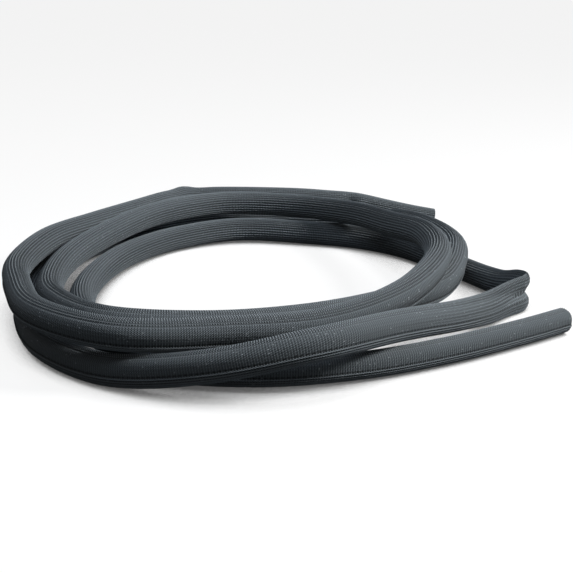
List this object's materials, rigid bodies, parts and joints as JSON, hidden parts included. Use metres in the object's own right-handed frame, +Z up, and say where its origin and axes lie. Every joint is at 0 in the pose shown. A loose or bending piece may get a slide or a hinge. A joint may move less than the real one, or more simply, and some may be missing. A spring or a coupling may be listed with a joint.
{
  "type": "split wire loom sleeve",
  "caption": "Woven self-closing split sleeve for bundling cables, lying in a loose coil with both cut ends free.",
  "frame": {"origin": "on the table under the middle of the coil's bounding box", "axes": "+Z up from the table, -Y towards the side where the front end lies, +X towards both free ends"},
  "size_m": [0.292, 0.3124, 0.0409],
  "materials": {
    "woven_sleeve": "dull slate-grey woven polyester with fine lengthwise ribs"
  },
  "bodies": {
    "root": {"split_sleeve": "woven_sleeve"}
  },
  "joints": []
}
